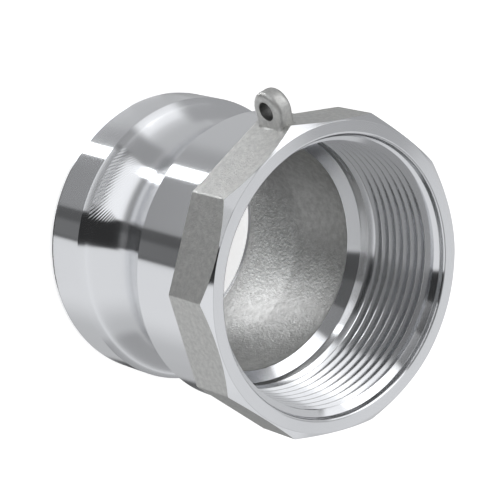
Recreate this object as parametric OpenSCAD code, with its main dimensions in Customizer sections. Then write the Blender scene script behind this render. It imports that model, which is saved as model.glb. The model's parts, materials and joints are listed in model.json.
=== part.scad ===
// Male half of a cam and groove hose coupling, with a female taper pipe thread behind its grooved nose.
// It stands on its nose: the axis is Z, the nose's end face lies at z = 0 and the thread opens upwards.
// The lug points along +X. The whole adapter is one aluminium casting, turned bright on its nose, groove,
// collar, thread end and thread, and left as cast on its wrench flats, its lug and its throat.
// Lengths are in millimetres and angles in degrees.

/* [Overall] */
// Length from the nose's end face to the thread's end face
length = 59.5; // [58.5:0.1:70]

/* [Nose] */
// Diameter of the nose, the land that seals and guides in the coupler
nose_d = 63; // [62:0.1:64]
// Length of that land, from the end face to the cam groove's edge
nose_land = 11.1; // [10.5:0.1:11.6]
// Radius on the nose's outer end edge
nose_edge_r = 1.8; // [0.5:0.1:3]

/* [Cam groove] */
// Diameter at the bottom of the groove
groove_root_d = 53.6; // [53:0.1:54.6]
// Radius of the groove's arc, which the cams press into
groove_r = 11.1; // [10.5:0.1:11.6]
// Distance of the arc's centre from the nose's end face
groove_z = 20.3; // [19.9:0.1:21]
// Size of the edge break between the land and the arc
groove_break = 0.9; // [0.5:0.1:1.2]

/* [Collar] */
// Diameter of the turned collar behind the groove
collar_d = 62.8; // [62:0.1:63.6]
// Distance of the collar's front edge from the nose's end face
collar_z = 32; // [31:0.1:36]
// Size of the edge break where the groove's flank meets the collar
collar_break = 0.25; // [0.1:0.05:0.6]

/* [Wrench section] */
// Number of wrench flats
flats = 10; // [8:2:12]
// Width across the flats
wrench_af = 65.9; // [64.8:0.1:70]
// Length of the flats from the thread's end face
wrench_len = 12.3; // [11.5:0.1:16]
// Diameter at which the turned chamfer meets the thread's end face
face_d = 65.4; // [63.6:0.1:65.8]
// Angle of the chamfer to the axis
chamfer_deg = 45; // [35:1:55]

/* [Pipe thread] */
// Diameter of the plain bore in which the thread is cut, the mean of the thread's minor taper
thread_bore_d = 56; // [55.4:0.1:57]
// Length of the full thread, from the thread's end face
thread_len = 20.5; // [18:0.1:22]
// Depth from that face to the shoulder, past the thread's run-out
thread_depth = 24.2; // [23.5:0.1:25]
// Diameter at the foot of the run-out, on the shoulder
runout_d = 54.6; // [53.5:0.1:55.2]
// Diameter of the mouth at the end face
mouth_d = 60.7; // [60:0.1:61.4]
// Depth of the mouth's lip
lip_depth = 0.5; // [0.3:0.1:1]
// Diameter of the short relief between the lip and the thread's lead-in
relief_d = 59.2; // [58.8:0.1:59.6]
// Depth of that relief from the end face
relief_depth = 1.3; // [1.1:0.1:3]
// Angle to the axis of the lead-in, the cone from the relief to the thread
relief_deg = 45; // [30:1:60]

/* [Throat] */
// Diameter at the small end of the turned shoulder, where the cast throat begins
shoulder_d = 50.8; // [49.5:0.1:52]
// Angle of the shoulder to the axis
shoulder_deg = 37; // [32:1:50]
// Diameter of the straight bore through the nose
bore_d = 47.5; // [45:0.1:48.4]
// Length of that straight bore from the nose's end face
bore_len = 18; // [12:0.5:20]

/* [Lug] */
// Diameter of the hole for a cord or chain
lug_hole_d = 3.9; // [3:0.1:4.4]
// Radius of the lug's round top, about the hole's axis
lug_r = 4.1; // [3.8:0.1:4.4]
// Thickness of the lug
lug_t = 3.5; // [3:0.1:4.5]
// Radius on the lug's rim
lug_edge_r = 1; // [0.4:0.1:1.2]
// Height of the hole's axis above the corner that the lug stands on
lug_height = 3.1; // [2.6:0.1:5]
// Distance of the hole's axis from the thread's end face
lug_setback = 6.6; // [6.2:0.1:7.2]
// Angle at which the lug widens towards that face at its foot
lug_flare_deg = 9.5; // [0:0.5:12]

/* [Hidden] */
$fn = 96;
// How far a cutting shape runs past the faces that it opens
over = 1;
nose_r = nose_d / 2;
collar_r = collar_d / 2;
// The groove's arc, as a centre in the half section, radius first and height second
arc_centre = [groove_root_d / 2 + groove_r, groove_z];
// The end of the flank on the collar, and where that flank leaves the arc
flank_end = [collar_r - collar_break, collar_z];
flank_start = tangent_point(arc_centre, groove_r, flank_end);
corner_r = wrench_af / 2 / cos(180 / flats);
lug_centre = [corner_r + lug_height, 0, length - lug_setback];
// The lug's foot starts inside the wall, short of the mouth
lug_foot_r = (face_d / 2 + mouth_d / 2) / 2;
shoulder_top_z = length - thread_depth;
shoulder_z = shoulder_top_z - (runout_d - shoulder_d) / 2 / tan(shoulder_deg);

// Point at which a line from the point p touches the circle of radius r about c, on the side nearer the axis
function tangent_point(c, r, p) =
    let (
        reach = norm(p - c),
        to_p = atan2(p[1] - c[1], p[0] - c[0]),
        open = acos(r / reach)
    )
    c + r * [cos(to_p + open), sin(to_p + open)];

// Half section of the cam groove: the arc, the straight flank up to the collar, and the two edge breaks
module groove_section() {
    outside_r = arc_centre[0];
    translate(arc_centre) circle(r = groove_r);
    polygon([
        arc_centre,
        flank_start,
        flank_end,
        [collar_r, collar_z + collar_break],
        [outside_r, collar_z + collar_break]
    ]);
    polygon([
        [nose_r, nose_land],
        [nose_r - groove_break, nose_land + groove_break],
        [outside_r, nose_land + groove_break],
        [outside_r, nose_land]
    ]);
}

// Half section of the nose and the collar before the groove is cut, with the nose's rounded end edge
module shank_section() {
    square([nose_r - nose_edge_r, groove_z]);
    translate([0, nose_edge_r]) square([nose_r, groove_z - nose_edge_r]);
    translate([nose_r - nose_edge_r, nose_edge_r]) circle(r = nose_edge_r);
    translate([0, groove_z]) square([collar_r, length - wrench_len - groove_z + over]);
}

// Nose, cam groove and collar, turned in one setting
module shank() {
    rotate_extrude() {
        difference() {
            shank_section();
            groove_section();
        }
    }
}

// Wrench flats, with the chamfer that was turned across their corners at the thread's end
module wrench_section() {
    face_r = face_d / 2;
    chamfer_h = (corner_r + over - face_r) / tan(chamfer_deg);
    intersection() {
        translate([0, 0, length - wrench_len]) cylinder(r = corner_r, h = wrench_len, $fn = flats);
        rotate_extrude() {
            polygon([
                [0, 0],
                [corner_r + over, 0],
                [corner_r + over, length - chamfer_h],
                [face_r, length],
                [0, length]
            ]);
        }
    }
}

// Half section of everything bored out: straight bore, cast throat, shoulder, thread bore, lead-in, relief and mouth
module bore_section() {
    bore_r = bore_d / 2;
    thread_r = thread_bore_d / 2;
    relief_r = relief_d / 2;
    mouth_r = mouth_d / 2;
    lead_in_h = (relief_r - thread_r) / tan(relief_deg);
    polygon([
        [0, -over],
        [bore_r, -over],
        [bore_r, bore_len],
        [shoulder_d / 2, shoulder_z],
        [runout_d / 2, shoulder_top_z],
        [thread_r, length - thread_len],
        [thread_r, length - relief_depth - lead_in_h],
        [relief_r, length - relief_depth],
        [relief_r, length - lip_depth],
        [mouth_r, length],
        [mouth_r, length + over],
        [0, length + over]
    ]);
}

// Rectangle about the origin with its corners rounded by a radius r
module rounded_rectangle(w, h, r) {
    square([w - 2 * r, h], center = true);
    square([w, h - 2 * r], center = true);
    for (x = [-1, 1], y = [-1, 1]) {
        translate([x * (w / 2 - r), y * (h / 2 - r)]) circle(r = r);
    }
}

// Bar of the lug's section, from the hole's axis down into the wall, leaning by an angle towards the thread's end
module lug_bar(lean) {
    rotate([0, lean, 0]) rotate([0, -90, 0])
        linear_extrude(height = lug_centre[0] - lug_foot_r) rounded_rectangle(2 * lug_r, lug_t, lug_edge_r);
}

// Lug for a cord or chain: a plate in the axial plane with a rounded rim. Its top is round, and its leaning
// bar leaves that round as a tangent, so that the foot is wider towards the thread's end.
module lug() {
    translate(lug_centre) difference() {
        union() {
            rotate([90, 0, 0]) rotate_extrude() {
                intersection() {
                    rounded_rectangle(2 * lug_r, lug_t, lug_edge_r);
                    translate([0, -lug_t]) square([lug_r, 2 * lug_t]);
                }
            }
            lug_bar(0);
            lug_bar(lug_flare_deg);
        }
        rotate([90, 0, 0]) cylinder(d = lug_hole_d, h = lug_t + 2 * over, center = true);
    }
}

// The whole casting
module adapter_body() {
    color("silver") difference() {
        union() {
            shank();
            wrench_section();
            lug();
        }
        rotate_extrude() bore_section();
    }
}

adapter_body();
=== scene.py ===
"""Male cam and groove adapter with a female taper pipe thread, cast in aluminium and partly turned bright.

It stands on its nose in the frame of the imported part: the axis is Z, the thread's mouth looks up and the
lug points along +X. Lengths are in millimetres until a mesh is made, and sizes of angles are in degrees.
"""

import json

import bmesh
import bpy
import numpy as np
from mathutils import Matrix, Vector


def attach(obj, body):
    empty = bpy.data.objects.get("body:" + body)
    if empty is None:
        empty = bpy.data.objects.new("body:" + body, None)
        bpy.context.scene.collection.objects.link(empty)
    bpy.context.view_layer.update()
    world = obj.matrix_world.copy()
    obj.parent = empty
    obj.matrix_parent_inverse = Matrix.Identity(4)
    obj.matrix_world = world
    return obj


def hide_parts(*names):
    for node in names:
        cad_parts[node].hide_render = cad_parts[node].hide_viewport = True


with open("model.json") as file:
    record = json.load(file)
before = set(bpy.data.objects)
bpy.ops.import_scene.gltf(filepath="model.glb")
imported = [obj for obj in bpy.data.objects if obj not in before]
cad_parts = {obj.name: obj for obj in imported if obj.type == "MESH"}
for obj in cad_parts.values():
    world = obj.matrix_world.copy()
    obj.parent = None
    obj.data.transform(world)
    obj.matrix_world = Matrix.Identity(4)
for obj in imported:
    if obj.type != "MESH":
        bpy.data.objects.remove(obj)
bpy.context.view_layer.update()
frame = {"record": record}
mounts = {mount["name"]: mount for mount in frame["record"]["mounts"]}

# Nose, cam groove and collar: one length of the aluminium casting, turned in one setting.
# The nose slides into a coupler, and the coupler's cams press into the groove's round hollow.
# The surface is bright, with the fine rings that a lathe tool leaves.

MM = 0.001
LENGTH = mounts["thread_face"]["pos_m"][2] / MM
NOSE_R = mounts["cam_nose"]["dims"]["r_mm"]
NOSE_EDGE_R = 1.8
NOSE_LAND = 11.1
LAND_BREAK = 0.35
GROOVE_BREAK = 0.9
GROOVE_R = 11.1
GROOVE_CENTRE = np.array([37.9, 20.3])
COLLAR_R = 31.4
COLLAR_Z = 32.0
COLLAR_BREAK = 0.25
SMALL_EDGE_R = 0.1
BORE_R = mounts["throat"]["dims"]["r_mm"]
BORE_EDGE_R = 0.15
WRENCH_LEN = 12.3
WRENCH_BACK_Z = LENGTH - WRENCH_LEN
# The rows start at this height in the bore, and the collar's end at this one, short of the wrench section
BORE_START = 1.0
COLLAR_END = WRENCH_BACK_Z - 0.6

# The casting's mesh has the same columns from end to end, so the wrench corners already set them here
FLATS = 10
WRENCH_AF = 65.9
CORNER_R = 1.0


def column_angles():
    """Angles of the mesh's columns, in radians, from 0 to a full turn.

    Each wrench corner has columns spread evenly over its rounding, and from there to the middle of a flat
    the spacing widens with the power 1.4 of the distance.
    """
    half = np.pi / FLATS
    round_end = np.arctan2(CORNER_R * np.sin(half), WRENCH_AF / 2 / np.cos(half))
    near = np.linspace(0, round_end, 4)
    far = round_end * 1.25 + (half - round_end * 1.25) * np.linspace(0, 1, 14) ** 1.4
    side = np.concatenate([near, far])
    sector = np.concatenate([side, 2 * half - side[-2:0:-1]])
    whole = (sector[None, :] + 2 * half * np.arange(FLATS)[:, None]).ravel()
    return np.append(whole, 2 * np.pi)


turn = column_angles()


def round_corners(corners, radii, steps=4, guard=0.04, columns=turn.size):
    """Rows along a bent line whose corners are rounded by arcs, each row a (radius, height) for each column.

    An arc touches both legs of its corner at radius / tan(half the corner's angle), and its points turn
    evenly about its centre. A guard row just past each end of an arc keeps the legs' shading flat. A radius
    of 0 keeps the corner as one row.
    """
    line = [np.stack([r + np.zeros(columns), z + np.zeros(columns)], axis=-1) for r, z in corners]
    rows = [line[0]]
    for before, here, after, radius in zip(line, line[1:], line[2:], radii):
        if radius == 0:
            rows.append(here)
            continue
        back = before - here
        on = after - here
        back = back / np.linalg.norm(back, axis=-1, keepdims=True)
        on = on / np.linalg.norm(on, axis=-1, keepdims=True)
        half = np.arccos(np.clip((back * on).sum(-1, keepdims=True), -1, 1)) / 2
        middle = (back + on) / np.linalg.norm(back + on, axis=-1, keepdims=True)
        centre = here + middle * radius / np.sin(half)
        first = here + back * radius / np.tan(half)
        last = here + on * radius / np.tan(half)
        sweep = np.pi - 2 * half
        rows.append(first + back * guard)
        for part in np.linspace(0, 1, steps + 1):
            arm = np.sin((1 - part) * sweep) * (first - centre) + np.sin(part * sweep) * (last - centre)
            rows.append(centre + arm / np.sin(sweep))
        rows.append(last + on * guard)
    rows.append(line[-1])
    return np.array(rows)


def arc_rows(centre, radius, start, end, count):
    """Rows along an arc about a centre, at evenly spaced angles in radians, both ends included."""
    angle = np.linspace(start, end, count)[:, None] + 0 * turn
    return np.stack([centre[0] + radius * np.cos(angle), centre[1] + radius * np.sin(angle)], axis=-1)


def tangent_angle(centre, radius, point):
    """Angle about the centre where a line from the point touches the circle, on the side nearer the axis.

    It is the point's own angle plus the arc cosine of the radius over the point's distance.
    """
    reach = np.linalg.norm(point - centre)
    return np.arctan2(point[1] - centre[1], point[0] - centre[0]) % (2 * np.pi) + np.arccos(radius / reach)


# A straight edge break leads from the land to the arc, and the flank leaves the arc as a tangent
break_end = np.array([NOSE_R - GROOVE_BREAK, NOSE_LAND + GROOVE_BREAK])
arc_start = 2 * np.pi - np.arccos((break_end[0] - GROOVE_CENTRE[0]) / GROOVE_R)
flank_top = np.array([COLLAR_R - COLLAR_BREAK, COLLAR_Z])
arc_end = tangent_angle(GROOVE_CENTRE, GROOVE_R, flank_top)
arc_first = GROOVE_CENTRE + GROOVE_R * np.array([np.cos(arc_start), np.sin(arc_start)])
arc_last = GROOVE_CENTRE + GROOVE_R * np.array([np.cos(arc_end), np.sin(arc_end)])

nose_rows = round_corners(
    [(BORE_R, BORE_START), (BORE_R, 0), (NOSE_R, 0), (NOSE_R, NOSE_LAND - LAND_BREAK), tuple(arc_first)],
    [BORE_EDGE_R, NOSE_EDGE_R, SMALL_EDGE_R], steps=7)
groove_rows = arc_rows(GROOVE_CENTRE, GROOVE_R, arc_start, arc_end, 34)[1:]
collar_rows = round_corners(
    [tuple(arc_last), tuple(flank_top), (COLLAR_R, COLLAR_Z + COLLAR_BREAK), (COLLAR_R, COLLAR_END)],
    [SMALL_EDGE_R, SMALL_EDGE_R], steps=2)[1:]

# Wrench section: ten flats left as cast, with a matt grain, between a turned back face and a turned
# chamfer. The chamfer cuts the corners in arcs, because it is a cone round a ten-sided bar.

FACE_R = 32.7
FACE_MIDDLE_R = 31.35
COLLAR_CORNER_R = 0.35
BACK_EDGE_R = 0.3
CHAMFER_EDGE_R = 0.12


def flats_radius():
    """Distance of the ten-sided bar's surface from the axis at each column.

    On a flat it is the apothem over the cosine of the angle from the flat's middle. Near a corner it is the
    far crossing with the circle that rounds the corner.
    """
    half = np.pi / FLATS
    off = (turn + half) % (2 * half) - half
    apothem = WRENCH_AF / 2
    centre = (apothem - CORNER_R) / np.cos(half)
    rounded = centre * np.cos(off) + np.sqrt(np.maximum(CORNER_R ** 2 - (centre * np.sin(off)) ** 2, 0))
    flat = apothem / np.cos(half - np.abs(off))
    round_end = np.arctan2(CORNER_R * np.sin(half), centre + CORNER_R * np.cos(half))
    return np.where(np.abs(off) < round_end, rounded, flat)


bar_r = flats_radius()
wrench_rows = round_corners(
    [(COLLAR_R, COLLAR_END), (COLLAR_R, WRENCH_BACK_Z), (bar_r, WRENCH_BACK_Z),
     (bar_r, LENGTH - (bar_r - FACE_R)), (FACE_R, LENGTH), (FACE_MIDDLE_R, LENGTH)],
    [COLLAR_CORNER_R, BACK_EDGE_R, CHAMFER_EDGE_R, SMALL_EDGE_R], steps=3)[1:]

# Mouth and thread: a lip, a relief ring and a right-hand taper thread, all turned.
# It has 11.5 turns to 25.4 mm, flanks at 30 degrees to the radius and a taper of 1 in 16 on diameter. Its
# crests are cut flat by the bore, and it runs out just above the shoulder.

PITCH = 25.4 / 11.5
TAPER = 1 / 32
THREAD_DEPTH = 1.6
CREST_FLAT = 0.22
CREST_R = 28.28
FLANK_ANGLE = 30
# A crest passes this height at this angle, and the phase is that crest's height at +X
CREST_Z = 55.21
CREST_ANGLE = 251.3
THREAD_PHASE = CREST_Z - PITCH * CREST_ANGLE / 360
LIP_R = 29.9
LIP_EDGE_R = 0.6
RELIEF_R = 29.6
RELIEF_DEPTH = 1.3
# The step sets how the relief's corner turns into the lead-in cone, which is smooth down to the depth
LEAD_IN_STEP = 0.2
LEAD_IN_DEPTH = 2.7
THREAD_LEN = 20.5
RUNOUT_LEN = 2.4
SHOULDER_DEPTH = 24.2
SHOULDER_TOP = LENGTH - SHOULDER_DEPTH
RUNOUT_R = 27.3
SHARP_EDGE_R = 0.08

mouth_rows = round_corners(
    [(FACE_MIDDLE_R, LENGTH), (LIP_R, LENGTH), (RELIEF_R, LENGTH - RELIEF_DEPTH),
     (RELIEF_R - LEAD_IN_STEP, LENGTH - RELIEF_DEPTH - LEAD_IN_STEP)],
    [LIP_EDGE_R, SHARP_EDGE_R], steps=5)[1:-1]


def bore_radius(z):
    """Radius of the bore that the thread is cut in.

    It is the lead-in's cone of 45 degrees, then the taper, and from the taper's end a straight line to the
    foot of the run-out.
    """
    depth = LENGTH - z
    cone = RELIEF_R - (depth - RELIEF_DEPTH)
    taper = CREST_R - TAPER * depth
    end_r = CREST_R - TAPER * THREAD_LEN
    last = end_r - (end_r - RUNOUT_R) * (depth - THREAD_LEN) / (LENGTH - SHOULDER_TOP - THREAD_LEN)
    return np.maximum(cone, np.minimum(taper, last))


def thread_rows():
    """Rows that follow the helix, so that every crest and root edge is a row.

    A row's height is a fixed part of a pitch plus one pitch for each turn, held between the relief and the
    shoulder. The groove's depth is 0 over the crest's flat, rises along the flank and is full at the root,
    and all of it fades to 0 over the run-out.
    """
    flank = THREAD_DEPTH * np.tan(np.radians(FLANK_ANGLE)) / PITCH
    half_crest = CREST_FLAT / 2 / PITCH
    side = np.array([half_crest, half_crest + flank])
    parts = np.concatenate([side, 1 - side[::-1]])
    top = LENGTH - RELIEF_DEPTH
    first_turn = np.ceil((top - THREAD_PHASE) / PITCH)
    turns = first_turn - np.arange(np.ceil((top - SHOULDER_TOP) / PITCH) + 2)
    place = (turns[:, None] - parts[None, :]).ravel()
    free = THREAD_PHASE + PITCH * (place[:, None] + turn[None, :] / (2 * np.pi))
    z = np.clip(free, SHOULDER_TOP, top)
    from_crest = np.abs(((z - THREAD_PHASE) / PITCH - turn / (2 * np.pi) + 0.5) % 1 - 0.5)
    fade = np.clip((z - (LENGTH - THREAD_LEN - RUNOUT_LEN)) / RUNOUT_LEN, 0, 1)
    depth = THREAD_DEPTH * np.clip((from_crest - half_crest) / flank, 0, 1) * fade
    taper_r = CREST_R - TAPER * (LENGTH - z)
    cut = np.where(depth > 0, np.minimum(taper_r, bore_radius(z)) + depth, 0)
    return np.stack([np.maximum(bore_radius(z), cut), z], axis=-1)


threads = thread_rows()

# Shoulder and throat: below the thread a short cone is turned, and from there to the nose's end the passage
# is the rough skin that the sand core left. It narrows in two stretches and ends in a straight bore.

SHOULDER_R = 25.0
SHOULDER_Z = 33.5
THROAT_MOUTH = (24.9, 33.1)
THROAT_BEND = (24.5, 26.0)
BORE_TOP = mounts["throat"]["dims"]["length_mm"]
BORE_MIDDLE = 9.0
BORE_BEND_R = 6.0

shoulder_rows = round_corners(
    [(RUNOUT_R, SHOULDER_TOP), (SHOULDER_R, SHOULDER_Z), THROAT_MOUTH], [SHARP_EDGE_R], steps=2)[1:-2]
throat_rows = round_corners(
    [THROAT_MOUTH, THROAT_BEND, (BORE_R, BORE_TOP), (BORE_R, BORE_MIDDLE), (BORE_R, BORE_START)],
    [0, BORE_BEND_R, 0], steps=6)

# Finishes: all of it is one aluminium, and the way that each surface was made sets how it looks, save the
# lug's hole, whose darker grey is painted shade. Real tool rings lie about 0.1 mm apart, and real sand
# grains are 0.2 to
# 0.3 mm wide. Both are too fine to show, so the rings are drawn 0.2 or 0.25 mm wide and the grains 0.4 or
# 0.55 mm.

# The groove's form tool shook beside the land and left slanting waves. They lie this far apart along the
# axis, with this many to a turn, between two angles and below a height, and fade out at these edges.
CHATTER_MM = 0.55
CHATTER_WAVES = 180
CHATTER_FROM = 24
CHATTER_TO = 56
CHATTER_TOP = 16.5
CHATTER_SIDE_FADE = 4
CHATTER_TOP_FADE = 1


def linear(hex_colour):
    """Linear RGBA of an sRGB hex colour."""
    srgb = np.array([int(hex_colour[k:k + 2], 16) for k in (1, 3, 5)]) / 255
    flat = np.where(srgb <= 0.04045, srgb / 12.92, ((srgb + 0.055) / 1.055) ** 2.4)
    return (*flat, 1.0)


def add_node(tree, kind, settings=None, **inputs):
    """A node with its settings. Each input, by its name or as i and its number, is a value or a socket."""
    node = tree.nodes.new(kind)
    for key, value in (settings or {}).items():
        setattr(node, key, value)
    for key, value in inputs.items():
        numbered = key[0] == "i" and key[1:].isdigit()
        socket = node.inputs[int(key[1:]) if numbered else key.replace("_", " ")]
        if isinstance(value, bpy.types.NodeSocket):
            tree.links.new(value, socket)
        else:
            socket.default_value = value
    return node


def new_material(name):
    """A new material and its empty node tree."""
    material = bpy.data.materials.new(name)
    material.use_nodes = True
    material.node_tree.nodes.clear()
    return material, material.node_tree


def turned_aluminium(name, colour, roughness, spread, ring_mm, ring_height, chatter_height=0):
    """Bright metal with rings about the axis, which are noise on the distance from the axis and the height.

    A reflection is drawn out along the axis, a quarter turn from the direction of the rings. Chatter is a
    sine of the height plus the angle, each times its own rate, and fades out past its sides and its top.
    """
    material, tree = new_material(name)
    place = add_node(tree, "ShaderNodeTexCoord").outputs["Object"]
    apart = add_node(tree, "ShaderNodeSeparateXYZ", i0=place)
    squares = add_node(tree, "ShaderNodeVectorMath", {"operation": "MULTIPLY"}, i0=place, i1=(1, 1, 0))
    radius = add_node(tree, "ShaderNodeVectorMath", {"operation": "LENGTH"}, i0=squares.outputs[0])
    flat = add_node(tree, "ShaderNodeCombineXYZ", i0=radius.outputs["Value"], i1=apart.outputs[2])
    rings = add_node(tree, "ShaderNodeTexNoise", Vector=flat.outputs[0], Scale=1 / (ring_mm * MM),
                     Detail=3.0)
    bump = add_node(tree, "ShaderNodeBump", Height=rings.outputs["Fac"], Distance=ring_height * MM,
                    Strength=1.0)
    if chatter_height:
        angle = add_node(tree, "ShaderNodeMath", {"operation": "ARCTAN2"}, i0=apart.outputs[1],
                         i1=apart.outputs[0])
        waves = add_node(tree, "ShaderNodeMath", {"operation": "MULTIPLY"}, i0=angle.outputs[0],
                         i1=CHATTER_WAVES)
        phase = add_node(tree, "ShaderNodeMath", {"operation": "MULTIPLY_ADD"}, i0=apart.outputs[2],
                         i1=2 * np.pi / (CHATTER_MM * MM), i2=waves.outputs[0])
        height = add_node(tree, "ShaderNodeMath", {"operation": "SINE"}, i0=phase.outputs[0])
        side = np.radians(CHATTER_SIDE_FADE)
        top = CHATTER_TOP * MM
        edges = [(angle.outputs[0], np.radians(CHATTER_FROM), side),
                 (angle.outputs[0], np.radians(CHATTER_TO), -side),
                 (apart.outputs[2], top, -CHATTER_TOP_FADE * MM)]
        for reading, edge, fade in edges:
            within = add_node(tree, "ShaderNodeMapRange", i0=reading, i1=edge - fade, i2=edge + fade)
            height = add_node(tree, "ShaderNodeMath", {"operation": "MULTIPLY"}, i0=height.outputs[0],
                              i1=within.outputs[0])
        bump = add_node(tree, "ShaderNodeBump", Height=height.outputs[0], Distance=chatter_height * MM,
                        Strength=1.0, Normal=bump.outputs[0])
    around = add_node(tree, "ShaderNodeVectorMath", {"operation": "CROSS_PRODUCT"}, i0=(0, 0, 1), i1=place)
    metal = add_node(tree, "ShaderNodeBsdfPrincipled", Base_Color=linear(colour), Metallic=1.0,
                     Roughness=roughness, Anisotropic=spread, Anisotropic_Rotation=0.25,
                     Tangent=around.outputs[0], Normal=bump.outputs[0])
    add_node(tree, "ShaderNodeOutputMaterial", Surface=metal.outputs[0])
    return material


def cast_aluminium(name, colours, roughness, grain_mm, grain_height):
    """Matt metal with a grain of noise like sand. A noise 2.5 times coarser mottles it between two greys."""
    material, tree = new_material(name)
    place = add_node(tree, "ShaderNodeTexCoord").outputs["Object"]
    grain = add_node(tree, "ShaderNodeTexNoise", Vector=place, Scale=1 / (grain_mm * MM), Detail=4.0,
                     Roughness=0.6)
    bump = add_node(tree, "ShaderNodeBump", Height=grain.outputs["Fac"], Distance=grain_height * MM,
                    Strength=1.0)
    patches = add_node(tree, "ShaderNodeTexNoise", Vector=place, Scale=0.4 / (grain_mm * MM), Detail=3.0,
                       Roughness=0.7)
    spread = add_node(tree, "ShaderNodeMapRange", i0=patches.outputs["Fac"], i1=0.35, i2=0.65)
    colour = add_node(tree, "ShaderNodeMix", {"data_type": "RGBA"}, i0=spread.outputs[0],
                      i6=linear(colours[0]), i7=linear(colours[1]))
    metal = add_node(tree, "ShaderNodeBsdfPrincipled", Base_Color=colour.outputs[2], Metallic=1.0,
                     Roughness=roughness, Normal=bump.outputs[0])
    add_node(tree, "ShaderNodeOutputMaterial", Surface=metal.outputs[0])
    return material


FINISHES = [
    # Nose, collar, face and shoulder: a near mirror, with each reflection drawn out across the tool's rings
    turned_aluminium("turned_aluminium", "#eeeff1", roughness=0.15, spread=1.0, ring_mm=0.25,
                     ring_height=0.0012),
    # Cam groove, cut by a form tool: the same skin, with a hatched patch where chatter catches the light
    turned_aluminium("form_tooled_aluminium", "#eeeff1", roughness=0.15, spread=1.0, ring_mm=0.25,
                     ring_height=0.0012, chatter_height=0.008),
    # Wrench flats and lug, left as cast: an even, sandy grey with no clear reflection
    cast_aluminium("cast_aluminium", ("#c0c0be", "#d4d4d1"), roughness=0.43, grain_mm=0.4,
                   grain_height=0.08),
    # Throat, moulded by the sand core: coarser grains that glint where light falls along the passage
    cast_aluminium("cored_aluminium", ("#b7b7b5", "#d0d0ce"), roughness=0.34, grain_mm=0.55,
                   grain_height=0.12),
    # Thread, cut in several passes: duller than the rest of the turning, so its flanks shade softly
    turned_aluminium("threaded_aluminium", "#e8e9eb", roughness=0.17, spread=0.5, ring_mm=0.2,
                     ring_height=0.001),
    # Wall of the lug's hole, cast and never worked: a duller skin, whose darker grey is painted shade for
    # the hollow
    cast_aluminium("hole_aluminium_painted_shade", ("#6c6c6b", "#7e7e7c"), roughness=0.5, grain_mm=0.4,
                   grain_height=0.08),
]
TURNED, GROOVED, CAST, CORED, THREAD, HOLE_PAINTED_SHADE = range(6)

# The casting's skin: all rows join into one closed mesh, from the bore round the outside and back down the
# mouth and the throat, and its seam is welded.


def skin_mesh():
    """Points, quads and finishes of a ring bent round on itself, whose last row joins its first.

    A point lies at its row's radius times the cosine and the sine of its column's angle, and at its row's
    height. A quad spans two rows and two columns and has the finish of its second row. Rows on the flats are
    cast, and the thread's lead-in is turned smooth.
    """
    stretches = [(nose_rows, TURNED), (groove_rows, GROOVED), (collar_rows, TURNED), (wrench_rows, TURNED),
                 (mouth_rows, TURNED), (threads, THREAD), (shoulder_rows, TURNED), (throat_rows, CORED)]
    rows = np.concatenate([part for part, _ in stretches])
    finish = np.concatenate([np.full(len(part), kind) for part, kind in stretches])
    # Rows past the turned back face that reach the flats at every column
    past_back = rows[:, :, 1].min(1) > WRENCH_BACK_Z + 0.1
    finish[past_back & (rows[:, :, 0].min(1) > WRENCH_AF / 2 - 0.05)] = CAST
    count, columns = rows.shape[:2]
    points = np.stack([rows[..., 0] * np.cos(turn), rows[..., 0] * np.sin(turn), rows[..., 1]], axis=-1)
    index = np.arange(count * columns).reshape(count, columns)
    here, below = index, np.roll(index, -1, axis=0)
    quads = np.stack([here[:, :-1], here[:, 1:], below[:, 1:], below[:, :-1]], axis=-1).reshape(-1, 4)
    kinds = np.repeat(np.roll(finish, -1), columns - 1)
    start_z = points.reshape(-1, 3)[quads[:, 0], 2]
    kinds[(kinds == THREAD) & (start_z > LENGTH - LEAD_IN_DEPTH)] = TURNED
    return points.reshape(-1, 3), quads, kinds


def solid_piece(name, points, quads, kinds):
    """A mesh object from points in millimetres, with doubled points merged and all faces turned outwards."""
    mesh = bpy.data.meshes.new(name)
    mesh.from_pydata((points * MM).tolist(), [], quads.tolist())
    mesh.polygons.foreach_set("material_index", kinds.astype(np.int32))
    for finish in FINISHES:
        mesh.materials.append(finish)
    work = bmesh.new()
    work.from_mesh(mesh)
    bmesh.ops.remove_doubles(work, verts=work.verts, dist=2e-7)
    bmesh.ops.dissolve_degenerate(work, edges=work.edges, dist=1e-7)
    bmesh.ops.recalc_face_normals(work, faces=work.faces)
    work.to_mesh(mesh)
    work.free()
    piece = bpy.data.objects.new(name, mesh)
    bpy.context.scene.collection.objects.link(piece)
    return piece


casting = solid_piece("adapter_casting", *skin_mesh())

# Lug: a small ear on one corner of the wrench section, cast in one with it, with a hole for a cord or a
# chain. Its rim is round, its foot is wider towards the mouth, and a fillet joins it to the corner.

LUG_HOLE_R = mounts["lug_hole"]["dims"]["r_mm"]
LUG_X, _, LUG_Z = np.array(mounts["lug_hole"]["pos_m"]) / MM
LUG_R = 4.08
LUG_T = 4.0
LUG_Y = -0.2
LUG_EDGE_R = 1.15
LUG_FLARE = 9.5
LUG_FILLET = 0.5
LUG_FOOT_X = 32.2
LUG_HOLE_EDGE_R = 0.35
LUG_COLUMNS = 145
LUG_SPOKES = 6


def lug_reach(angle):
    """Distance from the hole's axis to the lug's outline, at angles from +X towards +Z.

    The nearest of three limits holds: a leaning side towards the thread's end, a straight side towards the
    nose, and the foot inside the wall. The round top joins both sides as a tangent.
    """
    lean = np.radians(90 + LUG_FLARE)
    far = np.full(angle.shape, np.inf)
    upper = np.where(angle > lean, LUG_R / np.maximum(np.cos(angle - lean), 1e-3), LUG_R)
    lower = np.where(angle < 1.5 * np.pi, LUG_R / np.maximum(-np.sin(angle), 1e-3), LUG_R)
    side = np.where(angle <= np.pi, upper, lower)
    foot = np.where(np.cos(angle) < -1e-3, (LUG_X - LUG_FOOT_X) / np.maximum(-np.cos(angle), 1e-3), far)
    return np.minimum(side, foot)


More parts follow.
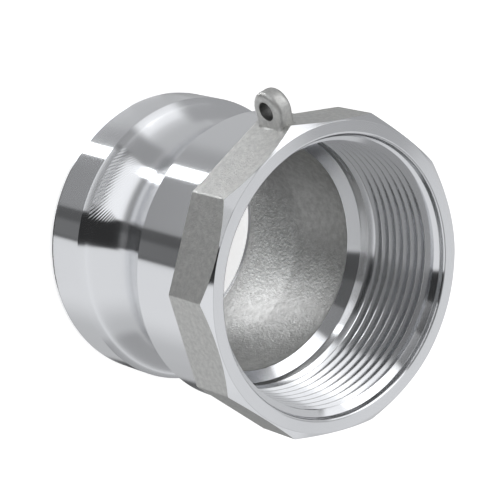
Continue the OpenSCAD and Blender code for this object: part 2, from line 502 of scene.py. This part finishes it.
def lug_mesh():
    """A grid round the hole's axis: rows run from the hole's wall over one side, the rim and the other side.

    Where it stands on the corner, each side spreads by the fillet's radius less its quarter circle's height.
    """
    angle = np.linspace(0, 2 * np.pi, LUG_COLUMNS)
    reach = lug_reach(angle)
    half = LUG_T / 2
    gap = 0.1
    inner = LUG_HOLE_R + LUG_HOLE_EDGE_R + gap
    outer = reach - LUG_EDGE_R - gap
    spokes = [inner + (outer - inner) * part for part in np.linspace(0, 1, LUG_SPOKES)]
    front = [(spoke, half) for spoke in spokes]
    back = [(spoke, -half) for spoke in spokes[::-1]]
    corners = [(LUG_HOLE_R, 0), (LUG_HOLE_R, half), *front, (reach, half), (reach, -half), *back,
               (LUG_HOLE_R, -half), (LUG_HOLE_R, 0)]
    plain = [0] * LUG_SPOKES
    radii = [LUG_HOLE_EDGE_R, *plain, LUG_EDGE_R, LUG_EDGE_R, *plain, LUG_HOLE_EDGE_R]
    rows = round_corners(corners, radii, steps=5, guard=0.03, columns=angle.size)[:-1]
    x = LUG_X + rows[..., 0] * np.cos(angle)
    z = LUG_Z + rows[..., 0] * np.sin(angle)
    side = rows[..., 1]
    wall = bar_r.max() - np.abs(side) * np.tan(np.pi / FLATS)
    rise = np.clip(LUG_FILLET - (x - wall), 0, LUG_FILLET)
    spread = LUG_FILLET - np.sqrt(LUG_FILLET ** 2 - rise ** 2)
    y = LUG_Y - side * (1 + spread / half)
    points = np.stack([x, y, z], axis=-1)
    count, columns = rows.shape[:2]
    index = np.arange(count * columns).reshape(count, columns)
    here, below = index, np.roll(index, -1, axis=0)
    quads = np.stack([here[:, :-1], here[:, 1:], below[:, 1:], below[:, :-1]], axis=-1).reshape(-1, 4)
    # The hole's wall takes the darker finish, whose grey is painted shade
    kinds = np.where(rows[:, :-1, 0] < LUG_HOLE_R + gap, HOLE_PAINTED_SHADE, CAST)
    return points.reshape(-1, 3), quads, kinds.ravel()


def join_solids(body, part):
    """Unites the second closed piece with the first, and removes the second."""
    union = body.modifiers.new("union", "BOOLEAN")
    union.operation = "UNION"
    union.solver = "MANIFOLD"
    union.object = part
    depsgraph = bpy.context.evaluated_depsgraph_get()
    joined = bpy.data.meshes.new_from_object(body.evaluated_get(depsgraph))
    body.modifiers.clear()
    body.data = joined
    bpy.data.objects.remove(part)


join_solids(casting, solid_piece("lug", *lug_mesh()))
casting.data.shade_smooth()
casting.data.set_sharp_from_angle(angle=np.radians(25))

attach(casting, "root")
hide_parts("adapter_body")

# Studio: a pale paper floor, lit from above, and round it a tent of grey cloth with one bright strip. Only
# the metal sees the tent, and the room beyond it is white.

FLOOR_Z = -0.0002
FLOOR_HALF = 3.0
FLOOR_GLOW = 0.55

floor_mesh = bpy.data.meshes.new("floor")
floor_points = [(x * FLOOR_HALF, y * FLOOR_HALF, FLOOR_Z) for x, y in [(-1, -1), (1, -1), (1, 1), (-1, 1)]]
floor_mesh.from_pydata(floor_points, [], [(0, 1, 2, 3)])
floor = bpy.data.objects.new("floor", floor_mesh)
bpy.context.scene.collection.objects.link(floor)
floor.visible_glossy = False
floor.visible_shadow = False
# Matt paper that takes the shadow. A glow that only the camera sees brings its open parts up to white.
paper, tree = new_material("white_paper")
light_path = add_node(tree, "ShaderNodeLightPath")
seen = add_node(tree, "ShaderNodeMath", {"operation": "MAXIMUM"}, i0=light_path.outputs["Is Camera Ray"],
                i1=light_path.outputs["Is Transmission Ray"])
glow_strength = add_node(tree, "ShaderNodeMath", {"operation": "MULTIPLY"}, i0=seen.outputs[0],
                         i1=FLOOR_GLOW)
matt = add_node(tree, "ShaderNodeBsdfDiffuse", Color=linear("#e6e6e6"))
glow = add_node(tree, "ShaderNodeEmission", Color=(1, 1, 1, 1), Strength=glow_strength.outputs[0])
both = add_node(tree, "ShaderNodeAddShader", i0=matt.outputs[0], i1=glow.outputs[0])
add_node(tree, "ShaderNodeOutputMaterial", Surface=both.outputs[0])
floor_mesh.materials.append(paper)

# The tent is a sphere, with its radius in metres. Each area of its cloth has two azimuths, two elevations,
# the softness of its upright and level edges, all in degrees, and a brightness. VIEW points from the cam
# groove to the camera.
TENT_R = 0.8
TENT_BASE = 0.6
VIEW = np.array([0.397, 0.495, 0.773])
TENT_AREAS = [
    # Walls, which the land, the collar, the flats and the groove's half beside the collar mirror
    (-180, -18, -91, 25, 4, 8, 0.46),
    (-18, 12, -91, 25, 8, 8, 0.52),
    (13, 25, -91, 25, 12, 8, 0.40),
    (29.5, 52, -91, 6, 1, 4, 0.24),
    (29.5, 52, -91, -8, 1, 10, 0.15),
    (64, 124, -91, 52, 1.5, 6, 0.78),
    (95, 130, -91, 50, 18, 6, 0.55),
    (124, 180, -91, 30, 5, 8, 0.04),
    # Upper walls, which the groove's half beside the land mirrors: grey ones, and white panels with a gap
    (108, 180, 8, 45, 8, 8, 0.36),
    (-70, -10, 20, 56, 8, 8, 0.38),
    (-8, 13, 34, 58, 6, 5, 0.95),
    (13, 24, 5, 60, 5, 6, 0.33),
    (24.5, 52, 7, 37, 1, 2, 1.02),
    (22, 52, 37, 43, 1, 1.5, 0.05),
    (22, 52, 43, 49, 1, 1.5, 0.95),
    # A dark gap between two walls, beside the camera
    (52, 64.5, -91, 52, 1, 3, 0.11),
    (57, 63.5, -91, 5, 2, 4, 0.19),
    (52, 65.5, 6, 50, 1, 2, 0.03),
    # The bright strip that glints on the land, the groove and the collar, and its dimmer lower end
    (24.7, 29.3, -20, 8, 0.6, 3, 7.0),
    (27.5, 32.5, -36, -20, 1, 4, 2.0),
    # Roof, which the shoulder, the thread's flanks and the cones at the mouth mirror
    (-24, 22, 50, 76, 3, 4, 1.05),
    (22, 66, 50, 76, 3, 4, 0.20),
    (66, 148, 51, 76, 6, 5, 0.32),
    (38, 66, 48, 57, 1, 2, 0.02),
    (65, 157, 43, 54, 1.5, 3, 0.87),
    (-12, 20, 48, 56, 2, 2, 1.1),
    (148, 200, 40, 76, 8, 8, 0.62),
    # Straight above, which the face mirrors, darker on one side
    (-180, 180, 78, 91, 1, 5, 0.73),
    (-55, -8, 76, 91, 8, 5, 0.34),
]


def ramp(distance, softness):
    """0 outside an edge, 1 inside it, and a smooth step across the edge's width.

    The step is 3 times the square less 2 times the cube of the part of the width that is crossed.
    """
    part = np.clip(distance / softness + 0.5, 0, 1)
    return part * part * (3 - 2 * part)


def tent_level(directions):
    """Brightness of the tent in each direction from the object, with soft-edged areas laid over it in order.

    An area's azimuths and elevations say where a mirror has to face to show it to the camera. That is
    halfway between its direction and the camera's, so each surface has its own range of them.
    """
    halfway = directions + VIEW
    az = np.degrees(np.arctan2(halfway[..., 1], halfway[..., 0]))
    el = np.degrees(np.arctan2(halfway[..., 2], np.hypot(halfway[..., 0], halfway[..., 1])))
    level = np.full(az.shape, TENT_BASE)
    for az0, az1, el0, el1, soft_az, soft_el, shade in TENT_AREAS:
        off = np.abs((az - (az0 + az1) / 2 + 180) % 360 - 180)
        across = ramp((az1 - az0) / 2 - off, soft_az) if az1 - az0 < 360 else 1
        level += (shade - level) * across * ramp(el - el0, soft_el) * ramp(el1 - el, soft_el)
    return level


def glowing_sheet(name, points, levels):
    """A grid of points in metres whose cloth glows as an attribute says and is seen only in the metal."""
    rows, columns = levels.shape
    index = np.arange(rows * columns).reshape(rows, columns)
    quads = np.stack([index[:-1, :-1], index[:-1, 1:], index[1:, 1:], index[1:, :-1]], axis=-1)
    mesh = bpy.data.meshes.new(name)
    mesh.from_pydata(points.reshape(-1, 3).tolist(), [], quads.reshape(-1, 4).tolist())
    shades = mesh.attributes.new("level", "FLOAT", "POINT")
    shades.data.foreach_set("value", levels.ravel().astype(np.float32))
    material, tree = new_material(name + "_cloth")
    level = add_node(tree, "ShaderNodeAttribute", {"attribute_name": "level"})
    cloth = add_node(tree, "ShaderNodeEmission", Color=linear("#fcfdff"), Strength=level.outputs["Fac"])
    add_node(tree, "ShaderNodeOutputMaterial", Surface=cloth.outputs[0])
    mesh.materials.append(material)
    sheet = bpy.data.objects.new(name, mesh)
    bpy.context.scene.collection.objects.link(sheet)
    sheet.visible_camera = False
    sheet.visible_diffuse = False
    sheet.visible_shadow = False
    sheet.visible_transmission = False


az, el = np.meshgrid(np.radians(np.arange(0, 361.0)), np.radians(np.linspace(-89.5, 89.5, 180)))
around = np.stack([np.cos(el) * np.cos(az), np.cos(el) * np.sin(az), np.sin(el)], axis=-1)
glowing_sheet("tent", TENT_R * around, tent_level(around))

# A round card below the nose, which the throat mirrors through the open bore. Each area has its limits in x
# and in y, in millimetres, and a brightness.
CARD_Z = -15
CARD_R = 37
CARD_BASE = 0.25
CARD_SOFTNESS = 2
CARD_AREAS = [
    (-3, 14, -15.5, -5, 4.5),
    (-4, 16, -3, 21, 0.08),
    (-40, -9, 11, 40, 0.6),
    (-30, -9, -22, 11, 0.12),
    (25, 40, -20, -9, 1.2),
    (25, 40, -9, 16, 2.8),
    (-3, 18.5, 22, 40, 0.04),
    (-40, -5, 22, 40, 0.6),
]
az, reach = np.meshgrid(np.radians(np.arange(0, 361.0, 3)), np.linspace(0.3, CARD_R, 50))
x, y = reach * np.cos(az), reach * np.sin(az)
card_levels = np.full(x.shape, CARD_BASE)
for x0, x1, y0, y1, shade in CARD_AREAS:
    across = ramp(x - x0, CARD_SOFTNESS) * ramp(x1 - x, CARD_SOFTNESS)
    along = ramp(y - y0, CARD_SOFTNESS) * ramp(y1 - y, CARD_SOFTNESS)
    card_levels += (shade - card_levels) * across * along
glowing_sheet("bore_card", np.stack([x, y, 0 * x + CARD_Z], axis=-1) * MM, card_levels)

# The room is white to the camera and in the metal, and lights the scene at less than half of that
ROOM_LEVEL = 0.45

world = bpy.data.worlds.new("room")
bpy.context.scene.world = world
world.use_nodes = True
world.node_tree.nodes.clear()
tree = world.node_tree
light_path = add_node(tree, "ShaderNodeLightPath")
seen = add_node(tree, "ShaderNodeMath", {"operation": "MAXIMUM"}, i0=light_path.outputs["Is Camera Ray"],
                i1=light_path.outputs["Is Glossy Ray"])
seen_all = add_node(tree, "ShaderNodeMath", {"operation": "MAXIMUM"}, i0=seen.outputs[0],
                    i1=light_path.outputs["Is Transmission Ray"])
strength = add_node(tree, "ShaderNodeMapRange", i0=seen_all.outputs[0], i3=ROOM_LEVEL, i4=1.0)
sky = add_node(tree, "ShaderNodeBackground", Color=(1, 1, 1, 1), Strength=strength.outputs[0])
add_node(tree, "ShaderNodeOutputWorld", Surface=sky.outputs[0])


def softbox(name, azimuth, elevation, distance, width, height, energy):
    """A rectangular lamp in metres and watts, in a direction from the object and facing it."""
    lamp = bpy.data.lights.new(name, "AREA")
    lamp.shape = "RECTANGLE"
    lamp.size = width
    lamp.size_y = height
    lamp.energy = energy
    az, el = np.radians([azimuth, elevation])
    piece = bpy.data.objects.new(name, lamp)
    piece.location = distance * Vector((np.cos(az) * np.cos(el), np.sin(az) * np.cos(el), np.sin(el)))
    piece.rotation_euler = (-piece.location).to_track_quat("-Z", "Y").to_euler()
    bpy.context.scene.collection.objects.link(piece)
    return piece


softbox("key_softbox", azimuth=-38, elevation=42, distance=0.75, width=0.4, height=0.4, energy=0.42)
overhead = softbox("overhead_softbox", azimuth=60, elevation=80, distance=1.0, width=1.2, height=1.2,
                   energy=5.0)
overhead.visible_glossy = False

# Camera: at the photograph's angle, above the mouth and rolled so that the adapter seems to lie on its side.
# Its place and aim are in metres, and its focal length in pixels of a frame 500 pixels wide.

CAMERA_PLACE = (0.20540, 0.25524, 0.41488)
CAMERA_AIM = (0.00057, -0.00061, 0.02985)
CAMERA_ROLL = -105.093
FOCAL_PIXELS = 2350
FRAME_PIXELS = 500
SENSOR_MM = 36.0

camera = bpy.data.cameras.new("camera")
camera.sensor_width = SENSOR_MM
camera.lens = SENSOR_MM * FOCAL_PIXELS / FRAME_PIXELS
camera.clip_start = 0.01
camera_object = bpy.data.objects.new("camera", camera)
bpy.context.scene.collection.objects.link(camera_object)
look = (Vector(CAMERA_AIM) - Vector(CAMERA_PLACE)).to_track_quat("-Z", "Y").to_matrix()
rolled = look @ Matrix.Rotation(-np.radians(CAMERA_ROLL), 3, "Z")
camera_object.matrix_world = Matrix.Translation(CAMERA_PLACE) @ rolled.to_4x4()
bpy.context.scene.camera = camera_object

bpy.context.scene.view_settings.view_transform = "Standard"
